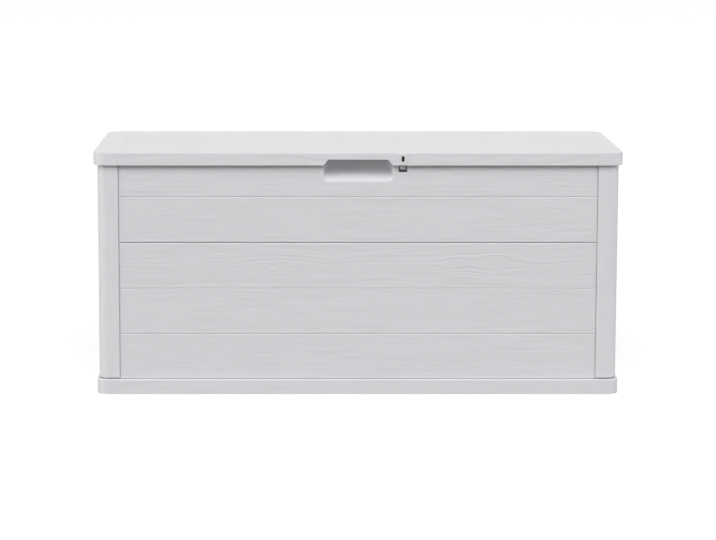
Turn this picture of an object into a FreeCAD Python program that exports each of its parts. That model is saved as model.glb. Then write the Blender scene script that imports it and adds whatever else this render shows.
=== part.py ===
import FreeCAD, Part
import math
import os

V = FreeCAD.Vector

# Garden storage box of moulded, wood-look resin. Millimetres, +Z up, the front at -Y.
# The origin is on the ground, under the middle of the box.

# Overall size
LID_WIDTH = 1170.0
BOX_DEPTH = 450.0  # from the padlock boss to the back of the lid
LID_TOP_Z = 542.0

# Lid
LID_SKIN = 3.5
LIP_HEIGHT = 28.3
LIP_CORNER_R = 30.5
LID_EDGE_R = 1.5
LIP_FOOT_R = 0.8
LIP_REAR_R = 8.0  # where the side lips run out towards the hinge
LID_OVERHANG = 8.5  # of the lip over the posts, on each side
LID_RIB_DEPTH = 14.0
LID_RIB_T = 2.5
LID_RIB_MARGIN = 36.0  # from the outside of the walls to the ends of the lid's ribs
LID_LONG_RIBS = 5
LID_RIB_PITCH = 78.0
LID_GROOVE_W = 2.4
LID_GROOVE_D = 0.5  # on the lid's top
LIP_GROOVE_D = 0.6
LID_BOARDS = 3
RIM_CLEARANCE = 0.3  # under the lid, over the walls and posts

# Finger cut-out in the lid's front lip and the scoop behind it
CUTOUT_TOP_W = 131.5
CUTOUT_FOOT_W = 153.8
CUTOUT_HEIGHT = 13.3
CUTOUT_CORNER_R = 1.5
SCOOP_WIDTH = 151.0
SCOOP_DEPTH = 28.0
SCOOP_DROP = 64.0  # from the lid's top down to the scoop's lower edge
SCOOP_RISE = 22.0  # of its sloping floor, from front to back
SCOOP_FLOOR_R = 13.5
SCOOP_WALL = 2.6
SCOOP_CORNER_R = 9.0
SCOOP_RIM_R = 4.0

# Padlock slot, boss and window
LOCK_X = 98.5
LOCK_SLOT_W = 7.0
LOCK_SLOT_H = 13.5
LOCK_SLOT_DROP = 14.0  # from the lid's top to the middle of the slot
LOCK_BOSS_W = 16.0
LOCK_BOSS_H = 24.0
LOCK_BOSS_PROUD = 0.8
LOCK_BOSS_R = 3.0
LOCK_WINDOW_W = 19.0
LOCK_WINDOW_H = 15.0
LOCK_WINDOW_DROP = 44.0  # from the lid's top to the window's lower edge
LOCK_TONGUE_W = 12.0
LOCK_TONGUE_T = 2.8
LOCK_TONGUE_SET_BACK = 2.2  # of the tongue behind the wall's face
LOCK_TONGUE_LIFT = 6.0  # room for a shackle under the tongue in the window
LOCK_TONGUE_ROOT = 4.0  # of the tongue above the window, against the wall's skin
LOCK_POCKET_MARGIN = 2.0
LOCK_POCKET_WALL = 2.5

# Corner posts
POST_FACE = 46.5
POST_CORNER_R = 22.0
POST_EDGE_R = 1.5
POST_WALL = 3.0
POST_FOOT_GAP = 3.3  # height of the shadow line along the outer sides of a post's foot
TONGUE_LENGTH = 11.0
TONGUE_CLEARANCE = 0.3

# Wall panels
PANEL_RECESS = 2.0  # of the panels behind the posts
PANEL_DEPTH = 16.0
PANEL_SKIN = 3.0
PANEL_WEB = 3.0
PANEL_RIB_T = 2.2
PANEL_RIB_SET_BACK = 2.0
PANEL_RIBS_PER_TAB = 2
GROOVE_RIB_T = 4.0
SEAM_GAP = 1.3  # between a panel's end and its post
JOINT_GAP = 1.0  # between the lower and the upper panel
CHANNEL_CLEARANCE = 0.6  # past the end of a post's tongue
LOWER_PLANKS = 3
PLANK_HEIGHT = 102.2
UPPER_PLANK_HEIGHT = 102.1
WALL_FOOT_GAP = 0.4  # under the walls' outer skin
GROOVE_W = 2.6
GROOVE_FLOOR_W = 1.2
GROOVE_D = 1.0
EDGE_CHAMFER = 1.4
END_CHAMFER = 0.8

# Snap tabs between the lower and the upper panels
TAB_W = 24.0
TAB_T = 3.0
TAB_HEIGHT = 10.0
TAB_PITCH = 156.5
TAB_CLEARANCE = 0.3
TAB_NOTCH_H = 1.4
LONG_WALL_TAB_COUNT = 7
SIDE_WALL_TAB_COUNT = 2

# Base tray
BASE_TOP_Z = 33.5
BASE_PROUD = 5.0  # of the skirt in front of the posts
BASE_SKIRT_T = 3.5
BASE_FLOOR_T = 3.0
BASE_EDGE_R = 2.2
BASE_RIB_T = 2.4
BASE_RIB_PITCH = 78.0
BASE_LONG_RIBS = 3
KERB_HEIGHT = 12.0
KERB_T = 3.0
KERB_CLEARANCE = 0.3
STUB_HEIGHT = 22.0
STUB_WALL = 5.5
STUB_CLEARANCE = 0.3
STUB_WAIST_D = 3.0  # cut into the stub's outer sides behind the post's foot gap

# Hinge
HINGE_STATIONS = 4
HINGE_PITCH = 280.0
HINGE_SET_BACK = 3.5  # of the pins' axis behind the rear panel's face
HINGE_DROP = 15.0  # of the pins' axis under the lid's top
KNUCKLE_R = 6.5
KNUCKLE_SWING = 0.9  # room round the lid's knuckles
LID_KNUCKLE_W = 30.0
WALL_KNUCKLE_W = 15.5
KNUCKLE_GAP = 0.5
PIN_R = 3.0
PIN_CLEARANCE = 0.08
PIN_HEAD_R = 4.2
PIN_HEAD_T = 2.5
PIN_TIP = 1.0
HINGE_BLOCK_MARGIN = 5.0
HINGE_BLOCK_FOOT = 17.0  # of the block under the pins' axis
OPEN_ANGLE = 98.0
STOP_GAP = 0.3  # left between the lid's rear lip and the wall when the lid is wide open
REAR_LIP_MARGIN = 3.0

# How far a cutting tool runs past a surface, and how near a point counts as on it
PAST = 1.0
NEAR = 1e-4

# Heights and planes worked out from the sizes above
lid_under_z = LID_TOP_Z - LID_SKIN
lip_foot_z = LID_TOP_Z - LIP_HEIGHT
rim_z = lid_under_z - RIM_CLEARANCE
joint_low_z = BASE_TOP_Z + LOWER_PLANKS * PLANK_HEIGHT
joint_high_z = joint_low_z + JOINT_GAP
lower_grooves = [BASE_TOP_Z + n * PLANK_HEIGHT for n in range(1, LOWER_PLANKS)]
upper_grooves = [joint_high_z + UPPER_PLANK_HEIGHT]

lid_half_x = LID_WIDTH / 2
lid_back_y = BOX_DEPTH / 2
lid_front_y = -BOX_DEPTH / 2 + LOCK_BOSS_PROUD
post_x = lid_half_x - LID_OVERHANG
post_y = lid_back_y - LID_OVERHANG
base_half_x = post_x + BASE_PROUD
base_half_y = post_y + BASE_PROUD
front_face = post_y - PANEL_RECESS  # distance of the long walls' faces from the middle
side_face = post_x - PANEL_RECESS
front_half = post_x - POST_FACE - SEAM_GAP
side_half = post_y - POST_FACE - SEAM_GAP
stub_inset = POST_WALL + STUB_CLEARANCE
channel = TONGUE_LENGTH - SEAM_GAP + CHANNEL_CLEARANCE
scoop_foot_z = LID_TOP_Z - SCOOP_DROP
slot_z = LID_TOP_Z - LOCK_SLOT_DROP
window_z = LID_TOP_Z - LOCK_WINDOW_DROP
hinge_y = front_face + HINGE_SET_BACK
hinge_z = LID_TOP_Z - HINGE_DROP


def box(x0, x1, y0, y1, z0, z1):
    """A block between two corners."""
    return Part.makeBox(x1 - x0, y1 - y0, z1 - z0, V(x0, y0, z0))


def fused(pieces):
    """One clean solid from several that touch."""
    whole = pieces[0].multiFuse(pieces[1:]) if len(pieces) > 1 else pieces[0]
    return whole.removeSplitter()


def without(body, tools):
    """The body with every tool taken away."""
    return body.cut(Part.makeCompound(tools)).removeSplitter()


def outline(corners, place):
    """A closed wire through corners (a, b, radius), with each corner rounded by an arc."""
    count = len(corners)
    edges = []
    starts = []
    ends = []
    middles = []
    for i in range(count):
        a, b, radius = corners[i]
        before = corners[i - 1]
        after = corners[(i + 1) % count]
        here = V(a, b, 0)
        back = (V(before[0], before[1], 0) - here).normalize()
        on = (V(after[0], after[1], 0) - here).normalize()
        if radius == 0:
            starts.append(here)
            ends.append(here)
            middles.append(None)
            continue
        half_turn = back.getAngle(on) / 2
        reach = radius / math.tan(half_turn)
        centre = here + (back + on).normalize() * (radius / math.sin(half_turn))
        starts.append(here + back * reach)
        ends.append(here + on * reach)
        middles.append(centre + (here - centre).normalize() * radius)
    for i in range(count):
        if middles[i] is not None:
            edges.append(Part.Arc(place(starts[i]), place(middles[i]), place(ends[i])).toShape())
        leave = ends[i]
        arrive = starts[(i + 1) % count]
        if (arrive - leave).Length > NEAR:
            edges.append(Part.LineSegment(place(leave), place(arrive)).toShape())
    return Part.Wire(edges)


def prism(corners, z0, z1):
    """A plan outline with corners (x, y, radius), raised from z0 to z1."""
    wire = outline(corners, lambda p: V(p.x, p.y, z0))
    return Part.Face(wire).extrude(V(0, 0, z1 - z0))


def bar(corners, x0, x1):
    """A side outline with corners (y, z, radius), drawn out along X from x0 to x1."""
    wire = outline(corners, lambda p: V(x0, p.x, p.y))
    return Part.Face(wire).extrude(V(x1 - x0, 0, 0))


def plate(half_x, y0, y1, radius, z0, z1):
    """A rectangle with four rounded corners, raised from z0 to z1."""
    corners = [(-half_x, y0, radius), (half_x, y0, radius), (half_x, y1, radius), (-half_x, y1, radius)]
    return prism(corners, z0, z1)


def edges_level_with(solid, z):
    """The solid's edges that lie at one height."""
    found = []
    for edge in solid.Edges:
        bounds = edge.BoundBox
        if abs(bounds.ZMin - z) < NEAR and abs(bounds.ZMax - z) < NEAR:
            found.append(edge)
    return found


def spread(count, pitch):
    """Places centred on zero, one pitch apart."""
    return [(i - (count - 1) / 2) * pitch for i in range(count)]


def filled(reach, pitch):
    """Places centred on zero, as many as fit within reach on each side."""
    return spread(int(2 * reach / pitch), pitch)


def turned(solid, quarter_turns):
    """The solid turned about the box's upright middle line."""
    copy = solid.copy()
    copy.rotate(V(0, 0, 0), V(0, 0, 1), 90 * quarter_turns)
    return copy


# Wall panels are drawn as a front wall: the outer face is at y = -face, the inside is at +Y.


def panel_skin(half, face, low, high, grooves):
    """The outer skin with a narrow groove between its planks and eased edges."""
    profile = [(-face + PANEL_SKIN, low, 0)]
    profile += [(-face + EDGE_CHAMFER, low, 0), (-face, low + EDGE_CHAMFER, 0)]
    for z in grooves:
        profile.append((-face, z - GROOVE_W / 2, 0))
        profile.append((-face + GROOVE_D, z - GROOVE_FLOOR_W / 2, 0))
        profile.append((-face + GROOVE_D, z + GROOVE_FLOOR_W / 2, 0))
        profile.append((-face, z + GROOVE_W / 2, 0))
    profile += [(-face, high - EDGE_CHAMFER, 0), (-face + EDGE_CHAMFER, high, 0)]
    profile.append((-face + PANEL_SKIN, high, 0))
    return bar(profile, -half, half)


def panel_frame(half, face, low, high, grooves):
    """Webs, ribs and the end channels behind the skin."""
    behind = -face + PANEL_SKIN
    inside = -face + PANEL_DEPTH
    web_end = half - channel
    pieces = [
        box(-web_end, web_end, behind, inside, low, low + PANEL_WEB),
        box(-web_end, web_end, behind, inside, high - PANEL_WEB, high),
    ]
    for side in (-1, 1):
        near = side * (web_end - PANEL_WEB)
        end = side * web_end
        tip = side * half
        pieces.append(box(min(near, end), max(near, end), behind, inside, low, high))
        strip_y = inside - PANEL_SKIN
        pieces.append(box(min(near, tip), max(near, tip), strip_y, inside, low, high))
    for z in grooves:
        half_t = GROOVE_RIB_T / 2
        pieces.append(box(-web_end, web_end, behind, inside, z - half_t, z + half_t))
    rib_pitch = TAB_PITCH / PANEL_RIBS_PER_TAB
    rib_count = PANEL_RIBS_PER_TAB * round((web_end - PANEL_WEB) / TAB_PITCH)
    for x in spread(rib_count, rib_pitch):
        half_t = PANEL_RIB_T / 2
        pieces.append(box(x - half_t, x + half_t, behind, inside - PANEL_RIB_SET_BACK, low, high))
    return pieces


def end_chamfers(half, face, low, high):
    """Tools that ease the upright outer edges of a panel."""
    tools = []
    for side in (-1, 1):
        corners = [
            (side * half, -face, 0),
            (side * (half - END_CHAMFER), -face, 0),
            (side * half, -face + END_CHAMFER, 0),
        ]
        tools.append(prism(corners, low, high))
    return tools


def snap_tabs(face, tab_places):
    """Tabs that stand on a lower panel and reach into the upper one."""
    front = -face + PANEL_SKIN + TAB_CLEARANCE
    top = joint_low_z + TAB_HEIGHT
    foot = joint_low_z - PANEL_WEB
    return [box(x - TAB_W / 2, x + TAB_W / 2, front, front + TAB_T, foot, top) for x in tab_places]


def snap_slots(face, tab_places):
    """Slots for the tabs in an upper panel, with the notch that shows each tab outside."""
    tools = []
    half_w = TAB_W / 2 + TAB_CLEARANCE
    front = -face + PANEL_SKIN
    back = front + TAB_T + 2 * TAB_CLEARANCE
    for x in tab_places:
        tools.append(box(x - half_w, x + half_w, front, back, joint_high_z, joint_high_z + PANEL_WEB))
        tools.append(box(x - half_w, x + half_w, -face, front, joint_high_z, joint_high_z + TAB_NOTCH_H))
    return tools


def lower_panel(half, face, tab_count):
    """Three planks in one moulding, from the base up to the joint."""
    pieces = [panel_skin(half, face, BASE_TOP_Z + WALL_FOOT_GAP, joint_low_z, lower_grooves)]
    pieces += panel_frame(half, face, BASE_TOP_Z, joint_low_z, lower_grooves)
    pieces += snap_tabs(face, spread(tab_count, TAB_PITCH))
    return without(fused(pieces), end_chamfers(half, face, BASE_TOP_Z, joint_low_z))


def upper_panel(half, face, tab_count, extra, tools):
    """Two planks in one moulding, from the joint up to the lid, with extra pieces and tools."""
    pieces = [panel_skin(half, face, joint_high_z, rim_z, upper_grooves)]
    pieces += panel_frame(half, face, joint_high_z, rim_z, upper_grooves)
    tools = tools + end_chamfers(half, face, joint_high_z, rim_z)
    tools = tools + snap_slots(face, spread(tab_count, TAB_PITCH))
    return without(fused(pieces + extra), tools)


def scoop_profile(grow):
    """Side outline of the finger scoop, larger by grow on the inside of the box."""
    front = -front_face
    back = front + SCOOP_DEPTH + grow
    foot = scoop_foot_z - grow
    return [
        (front, foot, 0),
        (back, scoop_foot_z + SCOOP_RISE, SCOOP_FLOOR_R),
        (back, rim_z, 0),
        (front, rim_z, 0),
    ]


def scoop_space():
    """The hollow of the finger scoop, open to the front and the top."""
    half = SCOOP_WIDTH / 2
    space = bar(scoop_profile(0), -half, half)
    upright = []
    for edge in space.Edges:
        bounds = edge.BoundBox
        at_back = abs(bounds.YMin + front_face - SCOOP_DEPTH) < NEAR
        if at_back and bounds.XLength < NEAR and bounds.ZLength > SCOOP_CORNER_R:
            upright.append(edge)
    return space.makeFillet(SCOOP_CORNER_R, upright)


def scoop_shell():
    """The wall round the finger scoop, before the scoop's space is cut out."""
    half = SCOOP_WIDTH / 2 + SCOOP_WALL
    return bar(scoop_profile(SCOOP_WALL), -half, half)


def scoop_rim_rounding():
    """What is taken off to round the scoop's front edge, down both sides and along the foot."""
    half = SCOOP_WIDTH / 2
    front = -front_face
    reach = 2 * SCOOP_RIM_R
    slab = box(-half - reach, half + reach, front, front + reach, scoop_foot_z - reach, rim_z)
    slab = slab.cut(scoop_space())
    rim = []
    for edge in slab.Edges:
        bounds = edge.BoundBox
        in_face = abs(bounds.YMin - front) < NEAR and abs(bounds.YMax - front) < NEAR
        in_scoop = bounds.XMin > -half - NEAR and bounds.XMax < half + NEAR
        if in_face and in_scoop and bounds.ZMin > scoop_foot_z - NEAR:
            rim.append(edge)
    return slab.cut(slab.makeFillet(SCOOP_RIM_R, rim))


def lock_pocket():
    """The block behind the padlock slot and window, before its space is cut out."""
    half = LOCK_WINDOW_W / 2 + LOCK_POCKET_MARGIN + LOCK_POCKET_WALL
    back = -front_face + PANEL_DEPTH + LOCK_POCKET_WALL
    foot = window_z - LOCK_POCKET_MARGIN - LOCK_POCKET_WALL
    return box(LOCK_X - half, LOCK_X + half, -front_face + PANEL_SKIN, back, foot, rim_z)


def slot_through(y0, y1, width, height, middle_z):
    """An upright slot with round ends, from y0 to y1."""
    radius = width / 2
    run = height / 2 - radius
    block = box(LOCK_X - radius, LOCK_X + radius, y0, y1, middle_z - run, middle_z + run)
    ends = []
    for z in (middle_z - run, middle_z + run):
        ends.append(Part.makeCylinder(radius, y1 - y0, V(LOCK_X, y0, z), V(0, 1, 0)))
    return fused([block] + ends)


def lock_spaces():
    """The padlock slot, the window round its tongue and the space that joins them inside the pocket."""
    front = -front_face
    behind = front + PANEL_SKIN
    inner_half = LOCK_WINDOW_W / 2 + LOCK_POCKET_MARGIN
    low = window_z - LOCK_POCKET_MARGIN
    x0, x1 = LOCK_X - inner_half, LOCK_X + inner_half
    space = box(x0, x1, behind, front + PANEL_DEPTH, low, rim_z - PANEL_WEB)
    half = LOCK_WINDOW_W / 2
    window_top = window_z + LOCK_WINDOW_H
    window = box(LOCK_X - half, LOCK_X + half, front, behind, window_z, window_top)
    x0, x1 = LOCK_X - LOCK_TONGUE_W / 2, LOCK_X + LOCK_TONGUE_W / 2
    y0 = front + LOCK_TONGUE_SET_BACK
    tongue = box(x0, x1, y0, y0 + LOCK_TONGUE_T, window_z + LOCK_TONGUE_LIFT, window_top + LOCK_TONGUE_ROOT)
    slot = slot_through(front, behind, LOCK_SLOT_W, LOCK_SLOT_H, slot_z)
    return [space.cut(tongue), window.cut(tongue), slot]


def hinge_blocks():
    """Blocks and knuckles on the rear wall, drawn as a front wall."""
    face_y = -front_face
    axis_y = -hinge_y
    pieces = []
    inner = LID_KNUCKLE_W / 2 + KNUCKLE_GAP
    outer = inner + WALL_KNUCKLE_W
    reach = outer + HINGE_BLOCK_MARGIN
    for x in spread(HINGE_STATIONS, HINGE_PITCH):
        foot = hinge_z - HINGE_BLOCK_FOOT
        pieces.append(box(x - reach, x + reach, face_y + PANEL_SKIN, face_y + PANEL_DEPTH, foot, rim_z))
        for x0 in (x - outer, x + inner):
            low, high = hinge_z - KNUCKLE_R, hinge_z + KNUCKLE_R
            root = box(x0, x0 + WALL_KNUCKLE_W, axis_y, face_y + PANEL_SKIN, low, high)
            barrel = Part.makeCylinder(KNUCKLE_R, WALL_KNUCKLE_W, V(x0, axis_y, hinge_z), V(1, 0, 0))
            pieces += [root, barrel]
    return pieces


def hinge_tools():
    """Room for the lid's knuckles, the pins and their heads in the rear wall."""
    axis_y = -hinge_y
    outside = axis_y - 2 * KNUCKLE_R
    swing = KNUCKLE_R + KNUCKLE_SWING
    inner = LID_KNUCKLE_W / 2 + KNUCKLE_GAP
    outer = inner + WALL_KNUCKLE_W
    reach = outer + HINGE_BLOCK_MARGIN
    tools = []
    for x in spread(HINGE_STATIONS, HINGE_PITCH):
        tools.append(box(x - inner, x + inner, outside, axis_y + swing, hinge_z - swing, rim_z))
        bore = PIN_R + PIN_CLEARANCE
        tools.append(Part.makeCylinder(bore, 2 * reach, V(x - reach, axis_y, hinge_z), V(1, 0, 0)))
        head_r = PIN_HEAD_R + PIN_CLEARANCE
        head_room = PIN_HEAD_T + KNUCKLE_GAP
        start = V(x - outer - head_room, axis_y, hinge_z)
        tools.append(Part.makeCylinder(head_r, head_room, start, V(1, 0, 0)))
    return tools


def hinge_pin(x):
    """A headed pin through one hinge station."""
    outer = LID_KNUCKLE_W / 2 + KNUCKLE_GAP + WALL_KNUCKLE_W
    shaft = Part.makeCylinder(PIN_R, 2 * outer, V(x - outer, hinge_y, hinge_z), V(1, 0, 0))
    head = Part.makeCylinder(PIN_HEAD_R, PIN_HEAD_T, V(x + outer, hinge_y, hinge_z), V(1, 0, 0))
    tip = Part.makeCone(PIN_R, PIN_R - PIN_TIP, PIN_TIP, V(x - outer, hinge_y, hinge_z), V(-1, 0, 0))
    return fused([shaft, head, tip])


def post_outline(inset, inner_inset):
    """Plan of the front left corner post, drawn in on its outer sides and on its inner sides."""
    x0 = -post_x + inset
    y0 = -post_y + inset
    x1 = -post_x + POST_FACE - inner_inset
    y1 = -post_y + POST_FACE - inner_inset
    edge_r = POST_EDGE_R if inset == 0 else 0
    corner_r = POST_CORNER_R - inset
    return [(x0, y0, corner_r), (x1, y0, edge_r), (x1, y1, 0), (x0, y1, edge_r)]


def corner_post():
    """The front left post: a hollow column with a closed top and two tongues for the panels."""
    column = prism(post_outline(0, 0), BASE_TOP_Z, rim_z)
    hollow = prism(post_outline(POST_WALL, POST_WALL), BASE_TOP_Z, rim_z - POST_WALL)
    near = PANEL_RECESS + PANEL_SKIN + TONGUE_CLEARANCE
    far = PANEL_RECESS + PANEL_DEPTH - PANEL_SKIN - TONGUE_CLEARANCE
    start = POST_FACE
    end = POST_FACE + TONGUE_LENGTH
    low = BASE_TOP_Z
    tongues = [
        box(-post_x + start, -post_x + end, -post_y + near, -post_y + far, low, rim_z),
        box(-post_x + near, -post_x + far, -post_y + start, -post_y + end, low, rim_z),
    ]
    foot_top = BASE_TOP_Z + POST_FOOT_GAP
    behind_gap = prism(post_outline(stub_inset, 0), BASE_TOP_Z, foot_top)
    gap = prism(post_outline(0, 0), BASE_TOP_Z, foot_top).cut(behind_gap)
    return fused([column.cut(hollow).cut(gap)] + tongues)


def post_stub():
    """The hollow stub on the base that the front left post slides over, with a waist at its foot."""
    top = BASE_TOP_Z + STUB_HEIGHT
    foot = BASE_TOP_Z - BASE_FLOOR_T
    inner = stub_inset + STUB_WALL
    stub = prism(post_outline(stub_inset, stub_inset), foot, top)
    waist_top = BASE_TOP_Z + POST_FOOT_GAP
    behind_waist = prism(post_outline(stub_inset + STUB_WAIST_D, stub_inset), BASE_TOP_Z, waist_top)
    waist = prism(post_outline(stub_inset, stub_inset), BASE_TOP_Z, waist_top).cut(behind_waist)
    return stub.cut(prism(post_outline(inner, inner), BASE_TOP_Z, top)).cut(waist)


def four_corners(solid):
    """The solid and its mirror images in the other three corners."""
    right = solid.mirror(V(0, 0, 0), V(1, 0, 0))
    back = solid.mirror(V(0, 0, 0), V(0, 1, 0))
    both = right.mirror(V(0, 0, 0), V(0, 1, 0))
    return {"front_left": solid, "front_right": right, "rear_left": back, "rear_right": both}


def kerbs():
    """Low walls on the base that stand close behind the panels."""
    top = BASE_TOP_Z + KERB_HEIGHT
    foot = BASE_TOP_Z - BASE_FLOOR_T
    back = PANEL_DEPTH + KERB_CLEARANCE
    pieces = []
    for half, face, turns in ((front_half, front_face, (0, 2)), (side_half, side_face, (1, 3))):
        length = half - channel
        kerb = box(-length, length, -face + back, -face + back + KERB_T, foot, top)
        pieces += [turned(kerb, n) for n in turns]
    return pieces


def base_tray():
    """The floor, its skirt and the ribs underneath, with kerbs and stubs on top."""
    outer_r = POST_CORNER_R + BASE_PROUD
    outer = plate(base_half_x, -base_half_y, base_half_y, outer_r, 0, BASE_TOP_Z)
    outer = outer.makeFillet(BASE_EDGE_R, edges_level_with(outer, BASE_TOP_Z))
    in_x = base_half_x - BASE_SKIRT_T
    in_y = base_half_y - BASE_SKIRT_T
    hollow = plate(in_x, -in_y, in_y, outer_r - BASE_SKIRT_T, 0, BASE_TOP_Z - BASE_FLOOR_T)
    pieces = [outer.cut(hollow)]
    half_t = BASE_RIB_T / 2
    floor_z = BASE_TOP_Z - BASE_FLOOR_T
    for x in filled(in_x, BASE_RIB_PITCH):
        pieces.append(box(x - half_t, x + half_t, -in_y, in_y, 0, floor_z))
    for y in spread(BASE_LONG_RIBS, 2 * in_y / (BASE_LONG_RIBS + 1)):
        pieces.append(box(-in_x, in_x, y - half_t, y + half_t, 0, floor_z))
    pieces += kerbs()
    pieces += four_corners(post_stub()).values()
    return fused(pieces)


def rear_lip_foot_z():
    """Foot of the lid's rear lip, which meets the wall when the lid is wide open."""
    angle = math.radians(OPEN_ANGLE)
    reach = lid_back_y - hinge_y
    return hinge_z - (HINGE_SET_BACK - STOP_GAP + reach * math.cos(angle)) / math.sin(angle)


def lid_blank():
    """The lid's top and lip as one deep tray, with its edges rounded."""
    outer = plate(lid_half_x, lid_front_y, lid_back_y, LIP_CORNER_R, lip_foot_z, LID_TOP_Z)
    outer = outer.makeFillet(LID_EDGE_R, edges_level_with(outer, LID_TOP_Z))
    outer = outer.makeFillet(LIP_FOOT_R, edges_level_with(outer, lip_foot_z))
    inner_r = LIP_CORNER_R - LID_SKIN
    half_x = lid_half_x - LID_SKIN
    hollow = plate(half_x, lid_front_y + LID_SKIN, lid_back_y - LID_SKIN, inner_r, lip_foot_z, lid_under_z)
    return outer.cut(hollow)


def lid_rear_clearance():
    """What the lip loses at the back, where it would turn into the posts and the wall."""
    corner_y = lid_back_y - LIP_CORNER_R
    high = hinge_z + KNUCKLE_R
    side = [
        (corner_y - LIP_HEIGHT, lip_foot_z - PAST, 0),
        (corner_y, high, LIP_REAR_R),
        (lid_back_y + PAST, high, 0),
        (lid_back_y + PAST, lip_foot_z - PAST, 0),
    ]
    return bar(side, -lid_half_x - PAST, lid_half_x + PAST)


def lid_rear_lip():
    """The rear lip between the posts, which is the lid's stop."""
    half = front_half - REAR_LIP_MARGIN
    profile = [
        (lid_back_y - LID_SKIN, rear_lip_foot_z(), 0),
        (lid_back_y, rear_lip_foot_z(), 0),
        (lid_back_y, lid_under_z, 0),
        (lid_back_y - LID_SKIN, lid_under_z, 0),
    ]
    lip = bar(profile, -half, half)
    inner = LID_KNUCKLE_W / 2
    outer = inner + KNUCKLE_GAP + WALL_KNUCKLE_W + PIN_HEAD_T + 2 * KNUCKLE_GAP
    notch_top = hinge_z + KNUCKLE_R + KNUCKLE_SWING
    notches = []
    for x in spread(HINGE_STATIONS, HINGE_PITCH):
        for x0 in (x - outer, x + inner):
            width = outer - inner
            notches.append(box(x0, x0 + width, hinge_y, lid_back_y, rear_lip_foot_z(), notch_top))
    return without(lip, notches)


def lid_knuckles():
    """The lid's arms and knuckles, one at each hinge station."""
    pieces = []
    half = LID_KNUCKLE_W / 2
    for x in spread(HINGE_STATIONS, HINGE_PITCH):
        arm = box(x - half, x + half, hinge_y - KNUCKLE_R, hinge_y + KNUCKLE_R, hinge_z, lid_under_z)
        barrel = Part.makeCylinder(KNUCKLE_R, LID_KNUCKLE_W, V(x - half, hinge_y, hinge_z), V(1, 0, 0))
        pieces += [arm, barrel]
    return pieces


def lid_bores():
    """Pin holes through the lid's knuckles."""
    half = LID_KNUCKLE_W / 2
    bore = PIN_R + PIN_CLEARANCE
    tools = []
    for x in spread(HINGE_STATIONS, HINGE_PITCH):
        tools.append(Part.makeCylinder(bore, LID_KNUCKLE_W, V(x - half, hinge_y, hinge_z), V(1, 0, 0)))
    return tools


def lid_ribs():
    """The grid of ribs under the lid's top."""
    half_t = LID_RIB_T / 2
    reach_x = post_x - LID_RIB_MARGIN
    reach_y = post_y - LID_RIB_MARGIN
    foot = lid_under_z - LID_RIB_DEPTH
    pieces = []
    for x in filled(reach_x, LID_RIB_PITCH):
        pieces.append(box(x - half_t, x + half_t, -reach_y, reach_y, foot, lid_under_z))
    for y in spread(LID_LONG_RIBS, 2 * reach_y / (LID_LONG_RIBS + 1)):
        pieces.append(box(-reach_x, reach_x, y - half_t, y + half_t, foot, lid_under_z))
    return pieces


def lid_grooves():
    """Fine grooves between the lid's boards and its end bands, over the top and down the lip."""
    half_w = LID_GROOVE_W / 2
    top_floor_z = LID_TOP_Z - LID_GROOVE_D
    band_x = front_half
    tools = []
    for x in (-band_x, band_x):
        x0, x1 = x - half_w, x + half_w
        top = [(x0, LID_TOP_Z, 0), (x1, LID_TOP_Z, 0), (x, top_floor_z, 0)]
        wire = outline(top, lambda p: V(p.x, lid_front_y - PAST, p.y))
        tools.append(Part.Face(wire).extrude(V(0, BOX_DEPTH + PAST, 0)))
        lip = [(x0, lid_front_y, 0), (x1, lid_front_y, 0), (x, lid_front_y + LIP_GROOVE_D, 0)]
        tools.append(prism(lip, lip_foot_z, LID_TOP_Z))
    board = (lid_back_y - lid_front_y) / LID_BOARDS
    for i in range(1, LID_BOARDS):
        y = lid_front_y + i * board
        cut = [(y - half_w, LID_TOP_Z, 0), (y, top_floor_z, 0), (y + half_w, LID_TOP_Z, 0)]
        tools.append(bar(cut, -band_x, band_x))
    return tools


def handle_cutout():
    """The trapezoid cut into the front lip for the fingers."""
    foot = CUTOUT_FOOT_W / 2
    top = CUTOUT_TOP_W / 2
    z0 = lip_foot_z
    z1 = lip_foot_z + CUTOUT_HEIGHT
    corner_r = CUTOUT_CORNER_R
    corners = [(-foot, z0, 0), (foot, z0, 0), (top, z1, corner_r), (-top, z1, corner_r)]
    wire = outline(corners, lambda p: V(p.x, lid_front_y, p.y))
    return Part.Face(wire).extrude(V(0, LID_SKIN, 0))


def padlock_boss():
    """The raised patch round the padlock slot."""
    half = LOCK_BOSS_W / 2
    z0 = slot_z - LOCK_BOSS_H / 2
    z1 = slot_z + LOCK_BOSS_H / 2
    corners = [
        (LOCK_X - half, z0, LOCK_BOSS_R),
        (LOCK_X + half, z0, LOCK_BOSS_R),
        (LOCK_X + half, z1, LOCK_BOSS_R),
        (LOCK_X - half, z1, LOCK_BOSS_R),
    ]
    front = lid_front_y - LOCK_BOSS_PROUD
    wire = outline(corners, lambda p: V(p.x, front, p.y))
    return Part.Face(wire).extrude(V(0, LOCK_BOSS_PROUD + LID_SKIN / 2, 0))


def lid():
    """The whole lid moulding."""
    tray = without(lid_blank(), [lid_rear_clearance()] + lid_grooves())
    pieces = [tray, lid_rear_lip(), padlock_boss()] + lid_knuckles() + lid_ribs()
    y0, y1 = lid_front_y - LOCK_BOSS_PROUD, lid_front_y + LID_SKIN
    slot = slot_through(y0, y1, LOCK_SLOT_W, LOCK_SLOT_H, slot_z)
    return without(fused(pieces), [handle_cutout(), slot] + lid_bores())


def write(name, solid):
    """One STEP file for one piece, with a line that says what was made."""
    solids = solid.Solids
    state = "" if solid.isValid() and len(solids) == 1 else "  NOT ONE VALID SOLID"
    print(name, "solids", len(solids), "volume", round(solid.Volume), state)
    solids[0].exportStep("parts/" + name + ".step")


os.makedirs("parts", exist_ok=True)

write("base_tray", base_tray())
for corner, post in four_corners(corner_post()).items():
    write("corner_post_" + corner, post)

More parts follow.
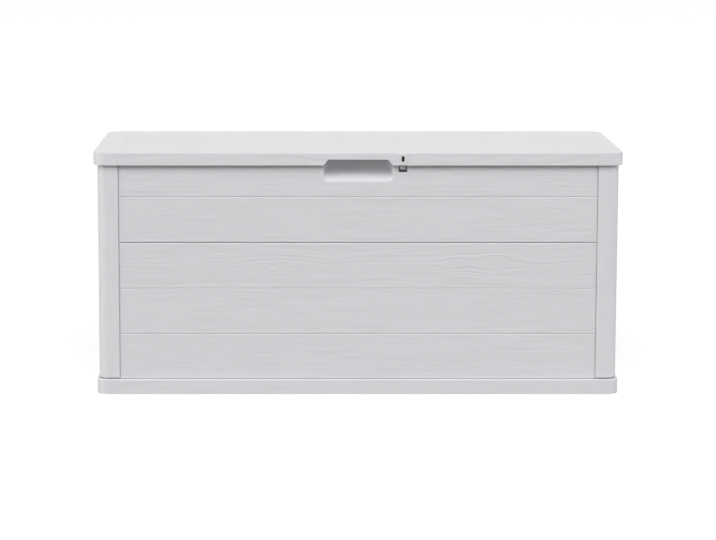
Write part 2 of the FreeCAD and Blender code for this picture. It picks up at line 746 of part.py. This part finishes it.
write("front_panel_lower", lower_panel(front_half, front_face, LONG_WALL_TAB_COUNT))
front_extra = [scoop_shell(), lock_pocket()]
front_tools = [scoop_space(), scoop_rim_rounding()] + lock_spaces()
front_upper = upper_panel(front_half, front_face, LONG_WALL_TAB_COUNT, front_extra, front_tools)
write("front_panel_upper", front_upper)

write("rear_panel_lower", turned(lower_panel(front_half, front_face, LONG_WALL_TAB_COUNT), 2))
rear_upper = upper_panel(front_half, front_face, LONG_WALL_TAB_COUNT, hinge_blocks(), hinge_tools())
write("rear_panel_upper", turned(rear_upper, 2))

for side_name, quarter_turns in (("right", 1), ("left", 3)):
    side_lower = lower_panel(side_half, side_face, SIDE_WALL_TAB_COUNT)
    write(side_name + "_panel_lower", turned(side_lower, quarter_turns))
    side_upper = upper_panel(side_half, side_face, SIDE_WALL_TAB_COUNT, [], [])
    write(side_name + "_panel_upper", turned(side_upper, quarter_turns))

write("lid", lid())
for number, station_x in enumerate(spread(HINGE_STATIONS, HINGE_PITCH), start=1):
    write("hinge_pin_" + str(number), hinge_pin(station_x))
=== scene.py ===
import math

import bpy
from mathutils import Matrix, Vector


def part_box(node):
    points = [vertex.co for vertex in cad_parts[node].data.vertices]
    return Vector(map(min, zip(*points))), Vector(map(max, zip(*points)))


# Looks of a low garden storage box of moulded, wood-look resin. Metres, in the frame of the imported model.

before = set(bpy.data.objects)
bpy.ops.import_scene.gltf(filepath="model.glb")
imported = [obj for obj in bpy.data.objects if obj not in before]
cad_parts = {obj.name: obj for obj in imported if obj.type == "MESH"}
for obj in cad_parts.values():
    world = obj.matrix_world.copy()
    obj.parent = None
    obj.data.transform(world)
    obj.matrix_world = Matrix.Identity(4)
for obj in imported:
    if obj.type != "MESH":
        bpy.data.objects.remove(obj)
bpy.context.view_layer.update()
scene = bpy.context.scene

# Camera
CAMERA_PLACE = (-0.1164, -5.4956, 1.1535)
CAMERA_DROP = 7.867  # degrees below the horizon
CAMERA_LENS = 121.36
CAMERA_SHIFT = (0.0735, -0.09)

# Light. A level of 1 is where a colour renders as it is written.
WORLD_LEVEL = 0.13
WHITE = (1.0, 1.0, 1.0)
# Each lamp has a name, its degrees right of the front and up, a level, a spread in degrees, a tint, and
# whether gloss shows it
LAMPS = [
    ("key", 0, 51, 0.87, 44, WHITE, False),
    ("left", -77, 5, 0.62, 36, (1.0, 1.0, 0.985), True),
    ("right", 77, 5, 0.45, 36, (0.97, 0.985, 1.0), True),
    ("rear", 180, 8, 0.36, 40, WHITE, False),
]
FLOOR_COLOR = (0.25, 0.25, 0.25)
FLOOR_GLOW = 0.79
FLOOR_RADIUS = 14.0
FLOOR_SIDES = 96

# Resin
RESIN = (0.66, 0.665, 0.682)
LIGHTER_PAINTED_FRAME_RESIN = (0.667, 0.672, 0.689)  # posts and lid: the resin painted a little lighter, painted light standing in for the brighter light that falls on them
PIN_RESIN = (0.33, 0.335, 0.345)
TONE_SHADE = (0.95, 0.07)  # brightness at a tone of 0, and what a tone of 1 adds
ROUGHNESS = 0.52
PIN_ROUGHNESS = 0.4
SMOOTH_GAIN = 0.1  # how much less rough the resin is where it has no grain
CLOUD_SCALE = (14.0, 14.0, 14.0)
CLOUD_ROUGHNESS = 0.16
EDGE_RADIUS = 0.0007
EDGE_TURN = 0.86  # how far the rounded normal agrees with the flat one where an edge is fully worn
EDGE_SHADE = 0.02
EDGE_GAIN = 0.08  # how much less rough a worn edge is

# Outer corners of the pieces, seen from above
POST_RADIUS = 0.022
BASE_RADIUS = 0.027
LID_RADIUS = 0.0305

# Relief. The grain is on the outer skin only.
GRAIN_DEPTH = 0.0005
FRAME_GRAIN_DEPTH = 1.4 * GRAIN_DEPTH  # posts and lid
BASE_GRAIN_DEPTH = 0.7 * GRAIN_DEPTH
PIN_GRAIN_DEPTH = 0.00005
SKIN = 0.003  # depth under the outer surface where the grain ends
FULL_SKIN = 0.7 * SKIN  # depth to which it is full
STIPPLE_SCALE = (900.0, 900.0, 900.0)
STIPPLE_RELIEF = 0.04

# Grain of a board. Scales are in cycles per metre along, across and into the board, ranges are where a value
# eases from nothing to all, and reliefs are shares of the grain's depth.
BOARD_ROOM = (31.0, 7.0, 5.0)  # metres of the noise in which each board has its own place
DRIFT_SCALE = (10.0, 28.0, 28.0)
DRIFT = (0.03, 0.014, 0.0)
BEND_SCALE = (1.6, 7.0, 7.0)
BEND = 0.025
WAVE_SCALE = (14.0, 40.0, 40.0)
WAVE = 0.004
RING_PITCH = 0.0098
RING_RANGE = (-0.5, 1.0)
RING_RELIEF = 0.45
UNEVEN_SCALE = (0.0, 40.0, 0.0)
UNEVEN_TURNS = 3.0
SHOWN_SCALE = (8.0, 30.0, 30.0)
SHOWN_RANGE = (0.36, 0.64)
STREAK_SCALE = (10.0, 62.0, 62.0)
STREAK_RANGE = (0.4, 0.74)
STREAK_RELIEF = 0.6
FIBRE_SCALE = (20.0, 420.0, 420.0)
FIBRE_RANGE = (0.5, 0.78)
FIBRE_RELIEF = 0.05
TONE_SCALE = (2.5, 14.0, 14.0)
TONE_LEVEL = (0.6, 0.4)  # tone where its noise is 0, and what a noise of 1 adds
TONE_SUNK = 0.4  # what the full depth of the grain takes off the tone
PIN_GRAIN_SCALE = (60.0, 1500.0, 1500.0)
PIN_TONE_SCALE = (40.0, 120.0, 120.0)

# Knots. Ranges, from nothing to all, are in knot radii.
KNOT_SLIMNESS = 0.42  # a knot's height over its length
KNOT_RING_PITCH = 0.0065
KNOT_RING_RELIEF = 0.1
KNOT_RELIEF = 0.18
KNOT_RANGE = (1.6, 0.5)
NEAR_RANGE = (4.5, 1.0)
NEAR_RINGS = 0.45  # how much more the rings show beside a knot

# Boards, each number picking another one
LONG_WALL_BOARD = 3.0
SIDE_WALL_BOARD = 31.0
FAR_WALL_STEP = 17.0
POST_BOARD = 60.0
REAR_POST_STEP = 2.0
LID_BOARD = 90.0
LID_END_STEP = 7.0
BASE_BOARD = 120.0

# How finely the grain is drawn together across the posts and the lid's ends
POST_FINENESS = 2.0
LID_END_FINENESS = 1.6

# How squarely a face looks to the front or the side before the grain turns with it
LID_FACING = 0.6
BASE_FACING = 0.7

PANEL_NODES = [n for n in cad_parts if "panel" in n]
POST_NODES = [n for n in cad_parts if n.startswith("corner_post")]
PIN_NODES = [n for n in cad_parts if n.startswith("hinge_pin")]

# The walls' planks and faces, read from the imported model
LOWER_PLANKS = 3
panel_low, panel_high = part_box("front_panel_lower")
PLANK_PITCH = (panel_high.z - panel_low.z) / LOWER_PLANKS
WALL_HALF = -panel_low.x
FRONT_FACE = -panel_low.y
SIDE_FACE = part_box("right_panel_lower")[1].x
LID_ROWS = 3

# How strongly the rings show on posts, lid and base and on a plain plank, and how much more on marked
# planks, counted from 0 at the base
FRAME_RINGS = 0.3
PLANK_RINGS = 0.35
LONG_WALL_MARKS = {2: 0.45, 4: 0.4}
SIDE_WALL_MARKS = {1: 0.45}

# Knots in the planks, as places along the wall and above the ground, with their radii
LONG_WALL_KNOTS = [
    (-0.219, 0.279, 0.009),
    (-0.168, 0.286, 0.006),
    (-0.058, 0.322, 0.009),
    (0.217, 0.295, 0.008),
    (0.300, 0.296, 0.013),
    (0.252, 0.081, 0.011),
    (0.423, 0.080, 0.010),
    (0.414, 0.372, 0.006),
    (0.274, 0.143, 0.006),
    (-0.270, 0.202, 0.006),
    (-0.212, 0.195, 0.006),
    (0.383, 0.216, 0.005),
    (-0.220, 0.071, 0.005),
    (-0.290, 0.484, 0.005),
]
SIDE_WALL_KNOTS = [
    (-0.090, 0.190, 0.012),
    (0.060, 0.205, 0.008),
    (0.040, 0.410, 0.008),
    (-0.050, 0.090, 0.010),
    (0.110, 0.300, 0.006),
]


# Node helpers


def put(tree, socket, value):
    """Sets an input, or links it if the value is another node's output."""
    if isinstance(value, bpy.types.NodeSocket):
        tree.links.new(value, socket)
    else:
        socket.default_value = value


def node(tree, kind, values=None, **settings):
    """A node with its settings, and its inputs from a dictionary of name or number to value or output."""
    made = tree.nodes.new(kind)
    for name, setting in settings.items():
        setattr(made, name, setting)
    for name, value in (values or {}).items():
        put(tree, made.inputs[name], value)
    return made


def calc(tree, operation, *terms):
    """A number worked out from one to three terms."""
    return node(tree, "ShaderNodeMath", dict(enumerate(terms)), operation=operation).outputs[0]


def vector_calc(tree, operation, *terms):
    """A vector worked out from one to three terms."""
    return node(tree, "ShaderNodeVectorMath", dict(enumerate(terms)), operation=operation).outputs[0]


def measure(tree, operation, *terms):
    """A number worked out from one or two vectors."""
    made = node(tree, "ShaderNodeVectorMath", dict(enumerate(terms)), operation=operation)
    return made.outputs["Value"]


def scaled(tree, vector, factor):
    """A vector times a number."""
    return node(tree, "ShaderNodeVectorMath", {0: vector, "Scale": factor}, operation="SCALE").outputs[0]


def noise(tree, place, scale, detail=1.0, rough=0.5, output="Fac"):
    """Soft noise from 0 to 1, at a scale for each direction in cycles per metre."""
    stretched = vector_calc(tree, "MULTIPLY", place, scale)
    values = {"Vector": stretched, "Scale": 1.0, "Detail": detail, "Roughness": rough}
    return node(tree, "ShaderNodeTexNoise", values).outputs[output]


def ramp(tree, value, low, high, to_low=0.0, to_high=1.0):
    """The value eased from low..high to to_low..to_high."""
    values = {"Value": value, "From Min": low, "From Max": high, "To Min": to_low, "To Max": to_high}
    return node(tree, "ShaderNodeMapRange", values, interpolation_type="SMOOTHSTEP").outputs["Result"]


def combine(tree, x, y, z=0.0):
    """A vector from three numbers."""
    return node(tree, "ShaderNodeCombineXYZ", {0: x, 1: y, 2: z}).outputs[0]


def separate(tree, vector):
    """The three numbers of a vector."""
    return node(tree, "ShaderNodeSeparateXYZ", {0: vector}).outputs


def choose(tree, share, first, second):
    """The first vector where the share is zero and the second where it is one."""
    mix = node(tree, "ShaderNodeMix", {"Factor": share}, data_type="VECTOR")
    first_input, second_input, vector_output = 4, 5, 1  # the sockets of a mix node that take vectors
    put(tree, mix.inputs[first_input], first)
    put(tree, mix.inputs[second_input], second)
    return mix.outputs[vector_output]


def new_group(name, inputs, outputs):
    """A node group with sockets (name, type), its input node's outputs and its output node's inputs."""
    tree = bpy.data.node_groups.new(name, "ShaderNodeTree")
    for label, kind in inputs:
        tree.interface.new_socket(label, in_out="INPUT", socket_type=kind)
    for label, kind in outputs:
        tree.interface.new_socket(label, in_out="OUTPUT", socket_type=kind)
    return tree, tree.nodes.new("NodeGroupInput").outputs, tree.nodes.new("NodeGroupOutput").inputs


# Embossed wood grain


def knot_group():
    """One knot: pushes the growth rings aside, and adds its own rings and nearness to those given."""
    parts = [("Place", "NodeSocketVector"), ("Core", "NodeSocketFloat"), ("Near", "NodeSocketFloat")]
    own_parts = [("Centre", "NodeSocketVector"), ("Radius", "NodeSocketFloat")]
    tree, given, result = new_group("knot", parts + own_parts, parts)
    away = vector_calc(tree, "SUBTRACT", given["Place"], given["Centre"])
    length = measure(tree, "LENGTH", vector_calc(tree, "MULTIPLY", away, (KNOT_SLIMNESS, 1.0, 0.0)))
    far = calc(tree, "DIVIDE", length, given["Radius"])

    # Outside the knot the rings give way by the inverse square of the distance, across the board only
    share = calc(tree, "POWER", calc(tree, "MAXIMUM", far, 1.0), -2.0)
    push = vector_calc(tree, "MULTIPLY", scaled(tree, away, share), (0.0, 1.0, 0.0))
    put(tree, result["Place"], vector_calc(tree, "SUBTRACT", given["Place"], push))

    rings = calc(tree, "COSINE", calc(tree, "MULTIPLY", length, 2 * math.pi / KNOT_RING_PITCH))
    relief = calc(tree, "MULTIPLY_ADD", rings, KNOT_RING_RELIEF, KNOT_RELIEF)
    core = calc(tree, "MULTIPLY", relief, ramp(tree, far, *KNOT_RANGE))
    put(tree, result["Core"], calc(tree, "ADD", core, given["Core"]))
    put(tree, result["Near"], calc(tree, "MAXIMUM", ramp(tree, far, *NEAR_RANGE), given["Near"]))
    return tree


def grain_group():
    """Embossed grain of a board: x runs along it, Board picks another board, Rings sets how they show."""
    inputs = [("Place", "NodeSocketVector")]
    inputs += [(name, "NodeSocketFloat") for name in ("Core", "Near", "Board", "Rings")]
    outputs = [("Height", "NodeSocketFloat"), ("Tone", "NodeSocketFloat")]
    tree, given, result = new_group("embossed_grain", inputs, outputs)

    values = {"W": given["Board"]}
    chance = node(tree, "ShaderNodeTexWhiteNoise", values, noise_dimensions="1D").outputs["Color"]
    moved = vector_calc(tree, "MULTIPLY_ADD", chance, BOARD_ROOM, given["Place"])
    along, across, deep = separate(tree, moved)

    # The growth rings drift slowly across the board
    bend = calc(tree, "SUBTRACT", noise(tree, moved, BEND_SCALE), 0.5)
    wave = calc(tree, "SUBTRACT", noise(tree, moved, WAVE_SCALE), 0.5)
    flow = calc(tree, "MULTIPLY_ADD", bend, BEND, across)
    flow = calc(tree, "MULTIPLY_ADD", wave, WAVE, flow)
    flowing = combine(tree, along, flow, deep)

    # They stand unevenly apart, and show here and there and beside knots
    uneven = noise(tree, flowing, UNEVEN_SCALE)
    turns = calc(tree, "MULTIPLY_ADD", uneven, UNEVEN_TURNS, calc(tree, "DIVIDE", flow, RING_PITCH))
    ring = calc(tree, "COSINE", calc(tree, "MULTIPLY", turns, 2 * math.pi))
    patches = ramp(tree, noise(tree, flowing, SHOWN_SCALE), *SHOWN_RANGE)
    shown = calc(tree, "MULTIPLY", patches, given["Rings"])
    marked = calc(tree, "MULTIPLY_ADD", given["Near"], NEAR_RINGS, shown)
    line = calc(tree, "MULTIPLY", ramp(tree, ring, *RING_RANGE), marked)

    streak = ramp(tree, noise(tree, flowing, STREAK_SCALE, detail=2.0, rough=0.4), *STREAK_RANGE)
    fibre = ramp(tree, noise(tree, flowing, FIBRE_SCALE), *FIBRE_RANGE)

    sunk = calc(tree, "MULTIPLY_ADD", line, RING_RELIEF, given["Core"])
    sunk = calc(tree, "MULTIPLY_ADD", streak, STREAK_RELIEF, sunk)
    sunk = calc(tree, "MULTIPLY_ADD", fibre, FIBRE_RELIEF, sunk)
    put(tree, result["Height"], calc(tree, "SUBTRACT", 1.0, sunk))
    least, more = TONE_LEVEL
    tone = calc(tree, "MULTIPLY_ADD", noise(tree, flowing, TONE_SCALE, detail=3.0), more, least)
    put(tree, result["Tone"], calc(tree, "MULTIPLY_ADD", sunk, -TONE_SUNK, tone))
    return tree


KNOT = knot_group()
GRAIN = grain_group()


def grain(tree, place, board, rings=FRAME_RINGS, spots=()):
    """The embossed height and the tone of a board at a place, with knots at (along, across, radius)."""
    chance = noise(tree, place, DRIFT_SCALE, output="Color")
    drift = vector_calc(tree, "SUBTRACT", chance, (0.5, 0.5, 0.5))
    wavy = vector_calc(tree, "MULTIPLY_ADD", drift, DRIFT, place)
    parts = {"Place": wavy, "Core": 0.0, "Near": 0.0}
    for along, across, radius in spots:
        values = {**parts, "Centre": (along, across, 0.0), "Radius": radius}
        made = node(tree, "ShaderNodeGroup", node_tree=KNOT)
        for name, value in values.items():
            put(tree, made.inputs[name], value)
        parts = {name: made.outputs[name] for name in parts}
    made = node(tree, "ShaderNodeGroup", node_tree=GRAIN)
    for name, value in {**parts, "Board": board, "Rings": rings}.items():
        put(tree, made.inputs[name], value)
    return made.outputs["Height"], made.outputs["Tone"]


# Materials


def start_tree(owner):
    """The emptied node tree of a material or the world."""
    owner.use_nodes = True
    owner.node_tree.nodes.clear()
    return owner.node_tree


def start_material(name):
    """An empty material, with its tree, its object coordinates and its object normal."""
    material = bpy.data.materials.new(name)
    tree = start_tree(material)
    where = node(tree, "ShaderNodeTexCoord").outputs
    return material, tree, where["Object"], where["Normal"]


def outer_skin(tree, out):
    """One at the outer surface and zero further in, from how far out a place is."""
    return ramp(tree, out, -SKIN, -FULL_SKIN)


def skin_mask(tree, place, low, high, radius, has_top=False):
    """One on the outer skin of a box with rounded corners, and zero further in."""
    half = (high - low) / 2
    centred = vector_calc(tree, "SUBTRACT", place, (low + high) / 2)
    size = vector_calc(tree, "ABSOLUTE", centred)
    past = vector_calc(tree, "SUBTRACT", size, (half.x - radius, half.y - radius, 0.0))
    corner = vector_calc(tree, "MAXIMUM", past, (0.0, 0.0, 0.0))
    corner = vector_calc(tree, "MULTIPLY", corner, (1.0, 1.0, 0.0))
    x, y, _ = separate(tree, past)
    straight = calc(tree, "MINIMUM", calc(tree, "MAXIMUM", x, y), 0.0)
    out = calc(tree, "SUBTRACT", calc(tree, "ADD", measure(tree, "LENGTH", corner), straight), radius)
    if has_top:
        rise = calc(tree, "SUBTRACT", separate(tree, centred)[2], half.z)
        out = calc(tree, "MAXIMUM", out, rise)
    return outer_skin(tree, out)


def finish_resin(tree, place, height, tone, color, mask=1.0, depth=GRAIN_DEPTH, rough=ROUGHNESS):
    """Moulded resin with worn edges: embossed where the mask is one, and smooth elsewhere."""
    stipple = noise(tree, place, STIPPLE_SCALE)
    height = calc(tree, "MULTIPLY_ADD", stipple, STIPPLE_RELIEF, calc(tree, "MULTIPLY", height, mask))
    rounded = node(tree, "ShaderNodeBevel", {"Radius": EDGE_RADIUS}, samples=4).outputs[0]
    flat = node(tree, "ShaderNodeNewGeometry").outputs["Normal"]
    edge = ramp(tree, measure(tree, "DOT_PRODUCT", rounded, flat), 1.0, EDGE_TURN)
    values = {"Height": height, "Distance": depth, "Strength": 1.0, "Normal": rounded}
    bump = node(tree, "ShaderNodeBump", values).outputs[0]

    least, more = TONE_SHADE
    shade = calc(tree, "MULTIPLY_ADD", edge, EDGE_SHADE, calc(tree, "MULTIPLY_ADD", tone, more, least))
    cloud = noise(tree, place, CLOUD_SCALE, detail=3.0)
    dull = calc(tree, "MULTIPLY_ADD", cloud, CLOUD_ROUGHNESS, rough - CLOUD_ROUGHNESS / 2)
    dull = calc(tree, "MULTIPLY_ADD", edge, -EDGE_GAIN, dull)
    dull = calc(tree, "MULTIPLY_ADD", calc(tree, "SUBTRACT", 1.0, mask), -SMOOTH_GAIN, dull)
    values = {"Base Color": scaled(tree, color, shade), "Roughness": dull, "Normal": bump}
    shader = node(tree, "ShaderNodeBsdfPrincipled", values).outputs[0]
    node(tree, "ShaderNodeOutputMaterial", {"Surface": shader})


def wall_material(name, side_wall, face, first_board, marks, spots):
    """Walls of stacked planks: the grain runs along the wall, and some planks show more of their rings."""
    material, tree, place, _ = start_material(name)
    x, y, z = separate(tree, place)
    along, deep = (y, x) if side_wall else (x, y)
    rise = calc(tree, "SUBTRACT", z, panel_low.z)
    plank = calc(tree, "FLOOR", calc(tree, "DIVIDE", rise, PLANK_PITCH))
    back = calc(tree, "GREATER_THAN", deep, 0.0)
    board = calc(tree, "MULTIPLY_ADD", back, FAR_WALL_STEP, calc(tree, "ADD", plank, first_board))
    rings = PLANK_RINGS
    for number, more in marks.items():
        this_plank = calc(tree, "COMPARE", plank, number, 0.1)
        rings = calc(tree, "MULTIPLY_ADD", this_plank, more, rings)
    height, tone = grain(tree, combine(tree, along, z), board, rings, spots)
    out = calc(tree, "SUBTRACT", calc(tree, "ABSOLUTE", deep), face)
    finish_resin(tree, place, height, tone, RESIN, outer_skin(tree, out))
    return material


def post_material():
    """Corner posts, with a finer grain upright and another board in each corner."""
    material, tree, place, _ = start_material("resin_posts")
    x, y, z = separate(tree, place)
    right = calc(tree, "GREATER_THAN", x, 0.0)
    back = calc(tree, "GREATER_THAN", y, 0.0)
    board = calc(tree, "MULTIPLY_ADD", back, REAR_POST_STEP, calc(tree, "ADD", right, POST_BOARD))
    around = calc(tree, "SUBTRACT", calc(tree, "ABSOLUTE", x), calc(tree, "ABSOLUTE", y))
    height, tone = grain(tree, combine(tree, z, calc(tree, "MULTIPLY", around, POST_FINENESS)), board)
    low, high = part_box("corner_post_front_left")[0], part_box("corner_post_rear_right")[1]
    mask = skin_mask(tree, place, low, high, POST_RADIUS)
    # Painted light: the posts take the copy of the resin that is painted lighter
    finish_resin(tree, place, height, tone, LIGHTER_PAINTED_FRAME_RESIN, mask, FRAME_GRAIN_DEPTH)
    return material


def lid_material():
    """The lid: boards along its length between two end bands whose grain runs across."""
    material, tree, place, normal = start_material("resin_lid")
    x, y, z = separate(tree, place)
    faces = separate(tree, vector_calc(tree, "ABSOLUTE", normal))
    low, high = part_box("lid")
    size_x = calc(tree, "ABSOLUTE", x)
    band = calc(tree, "GREATER_THAN", size_x, WALL_HALF)
    width = (high.y - low.y) / LID_ROWS
    row = calc(tree, "FLOOR", calc(tree, "DIVIDE", calc(tree, "SUBTRACT", y, low.y), width))
    boards = combine(tree, x, calc(tree, "ADD", y, z))
    upright = combine(tree, z, calc(tree, "MULTIPLY", x, LID_END_FINENESS))
    level = combine(tree, y, calc(tree, "SUBTRACT", size_x, z))
    ends = choose(tree, calc(tree, "GREATER_THAN", faces[1], LID_FACING), level, upright)
    side = calc(tree, "MULTIPLY", calc(tree, "SIGN", x), band)
    board = calc(tree, "MULTIPLY_ADD", side, LID_END_STEP, calc(tree, "ADD", LID_BOARD, row))
    height, tone = grain(tree, choose(tree, band, boards, ends), board)
    mask = skin_mask(tree, place, low, high, LID_RADIUS, has_top=True)
    # Painted light: the lid takes the copy of the resin that is painted lighter
    finish_resin(tree, place, height, tone, LIGHTER_PAINTED_FRAME_RESIN, mask, FRAME_GRAIN_DEPTH)
    return material


def base_material():
    """The base tray: a fine grain round its skirt, level with the ground."""
    material, tree, place, normal = start_material("resin_base")
    x, y, z = separate(tree, place)
    faces = separate(tree, vector_calc(tree, "ABSOLUTE", normal))
    to_side = calc(tree, "GREATER_THAN", faces[0], BASE_FACING)
    level = choose(tree, to_side, combine(tree, x, z), combine(tree, y, z))
    height, tone = grain(tree, level, BASE_BOARD)
    mask = skin_mask(tree, place, *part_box("base_tray"), BASE_RADIUS)
    finish_resin(tree, place, height, tone, RESIN, mask, BASE_GRAIN_DEPTH)
    return material


def pin_material():
    """Hinge pins of a darker resin, drawn smooth along their length."""
    material, tree, place, _ = start_material("pin_resin")
    drawn = noise(tree, place, PIN_GRAIN_SCALE, detail=2.0)
    tone = noise(tree, place, PIN_TONE_SCALE, detail=3.0)
    finish_resin(tree, place, drawn, tone, PIN_RESIN, depth=PIN_GRAIN_DEPTH, rough=PIN_ROUGHNESS)
    return material


def dress():
    """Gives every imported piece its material."""
    walls = wall_material(
        "resin_long_walls", False, FRONT_FACE, LONG_WALL_BOARD, LONG_WALL_MARKS, LONG_WALL_KNOTS
    )
    sides = wall_material(
        "resin_side_walls", True, SIDE_FACE, SIDE_WALL_BOARD, SIDE_WALL_MARKS, SIDE_WALL_KNOTS
    )
    looks = {"lid": lid_material(), "base_tray": base_material()}
    for name in PANEL_NODES:
        looks[name] = sides if name.startswith(("left", "right")) else walls
    looks.update(dict.fromkeys(POST_NODES, post_material()))
    looks.update(dict.fromkeys(PIN_NODES, pin_material()))
    for name, material in looks.items():
        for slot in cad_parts[name].material_slots:
            slot.material = material


# Stage, light and camera


def seen_directly(tree):
    """One for camera, glossy and transmission rays, and zero for the rays that light the object."""
    path = node(tree, "ShaderNodeLightPath").outputs
    shown = calc(tree, "MAXIMUM", path["Is Camera Ray"], path["Is Glossy Ray"])
    return calc(tree, "MAXIMUM", shown, path["Is Transmission Ray"])


def floor():
    """A round, pale floor that keeps the box's shadow."""
    bpy.ops.mesh.primitive_circle_add(
        vertices=FLOOR_SIDES, radius=FLOOR_RADIUS, fill_type="NGON", location=(0, 0, 0)
    )
    disc = bpy.context.object
    disc.name = "floor"
    material = bpy.data.materials.new("floor")
    tree = start_tree(material)
    lit = node(tree, "ShaderNodeBsdfDiffuse", {"Color": (*FLOOR_COLOR, 1.0)}).outputs[0]
    glow_level = calc(tree, "MULTIPLY", seen_directly(tree), FLOOR_GLOW)
    glow = node(tree, "ShaderNodeEmission", {"Strength": glow_level}).outputs[0]
    both = node(tree, "ShaderNodeAddShader", {0: lit, 1: glow}).outputs[0]
    node(tree, "ShaderNodeOutputMaterial", {"Surface": both})
    disc.data.materials.append(material)


def sky():
    """An even, pale surround: white where it is seen, and soft light elsewhere."""
    world = bpy.data.worlds.new("surround")
    scene.world = world
    tree = start_tree(world)
    level = ramp(tree, seen_directly(tree), 0.0, 1.0, WORLD_LEVEL, 1.0)
    back = node(tree, "ShaderNodeBackground", {"Color": (*WHITE, 1.0), "Strength": level}).outputs[0]
    node(tree, "ShaderNodeOutputWorld", {"Surface": back})


def lamp(name, azimuth, rise, level, spread, tint, in_gloss):
    """Broad, even light from one direction."""
    data = bpy.data.lights.new(name, "SUN")
    data.angle = math.radians(spread)
    data.color = tint
    data.energy = level * math.pi
    made = bpy.data.objects.new(name, data)
    scene.collection.objects.link(made)
    turn, up = math.radians(azimuth), math.radians(rise)
    towards = Vector((math.sin(turn) * math.cos(up), -math.cos(turn) * math.cos(up), math.sin(up)))
    made.rotation_euler = towards.to_track_quat("Z", "Y").to_euler()
    made.visible_glossy = in_gloss


def camera():
    """The photograph's view."""
    data = bpy.data.cameras.new("camera")
    data.lens = CAMERA_LENS
    data.shift_x, data.shift_y = CAMERA_SHIFT
    made = bpy.data.objects.new("camera", data)
    scene.collection.objects.link(made)
    made.location = CAMERA_PLACE
    made.rotation_euler = (math.radians(90 - CAMERA_DROP), 0, 0)
    scene.camera = made


dress()
floor()
sky()
for settings in LAMPS:
    lamp(*settings)
camera()
scene.view_settings.view_transform = "Standard"
